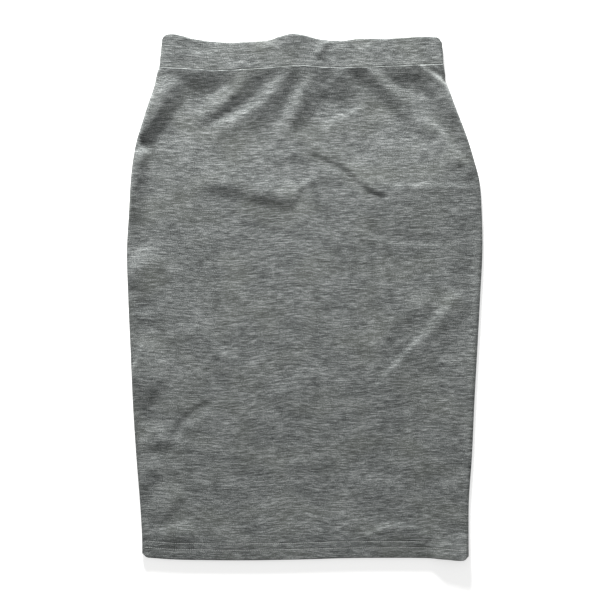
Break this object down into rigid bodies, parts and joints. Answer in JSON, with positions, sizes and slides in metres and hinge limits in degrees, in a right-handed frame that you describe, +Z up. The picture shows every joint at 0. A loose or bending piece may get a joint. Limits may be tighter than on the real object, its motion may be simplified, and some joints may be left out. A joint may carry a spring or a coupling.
{
  "type": "pencil skirt",
  "caption": "Pull-on pencil skirt in grey marl jersey with a wide elasticated waistband and a stitched hem, laid flat with its front uppermost.",
  "frame": {"origin": "on the surface that the skirt lies on, under the middle of its bounding box", "axes": "+Z up off the surface, +Y towards the waistband, +X to the right of someone looking down on the front"},
  "size_m": [0.4475, 0.6622, 0.0094],
  "materials": {
    "marl_jersey": "matte",
    "waistband_jersey": "matte"
  },
  "bodies": {
    "root": {"front_panel": "marl_jersey", "back_panel": "marl_jersey", "front_waistband": "waistband_jersey", "back_waistband": "waistband_jersey"}
  },
  "joints": []
}
